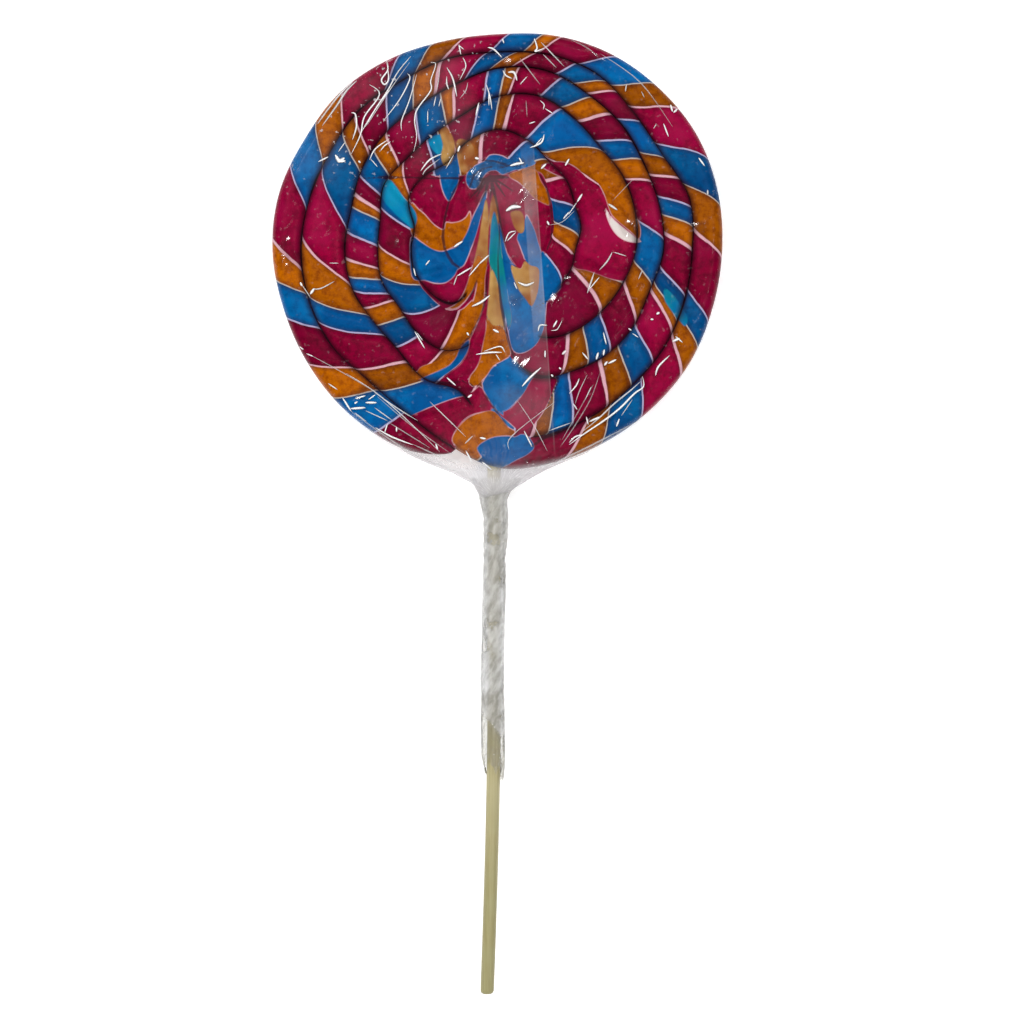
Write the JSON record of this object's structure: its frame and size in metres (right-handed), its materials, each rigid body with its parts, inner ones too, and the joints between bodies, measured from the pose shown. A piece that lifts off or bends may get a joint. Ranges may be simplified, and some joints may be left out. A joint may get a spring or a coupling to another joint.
{
  "type": "swirl lollipop",
  "caption": "Large flat swirl lollipop: a twisted candy rope wound into a coil, on a thin bamboo stick, in a clear film wrapper gathered round the stick.",
  "frame": {"origin": "middle of the coil's flat underside, on the surface that the lollipop lies on", "axes": "+Z out of the coil's face, the side shown; the stick points to -Y; +X to the right of the face"},
  "size_m": [0.1352, 0.2883, 0.012],
  "materials": {
    "candy": "glossy boiled sugar in crimson, blue and orange bands",
    "bamboo": "bare pale bamboo with a fine straight grain",
    "film": "clear crinkled wrapping film"
  },
  "bodies": {
    "root": {"candy_head": "candy", "stick": "bamboo", "film_neck": "film"}
  },
  "joints": []
}
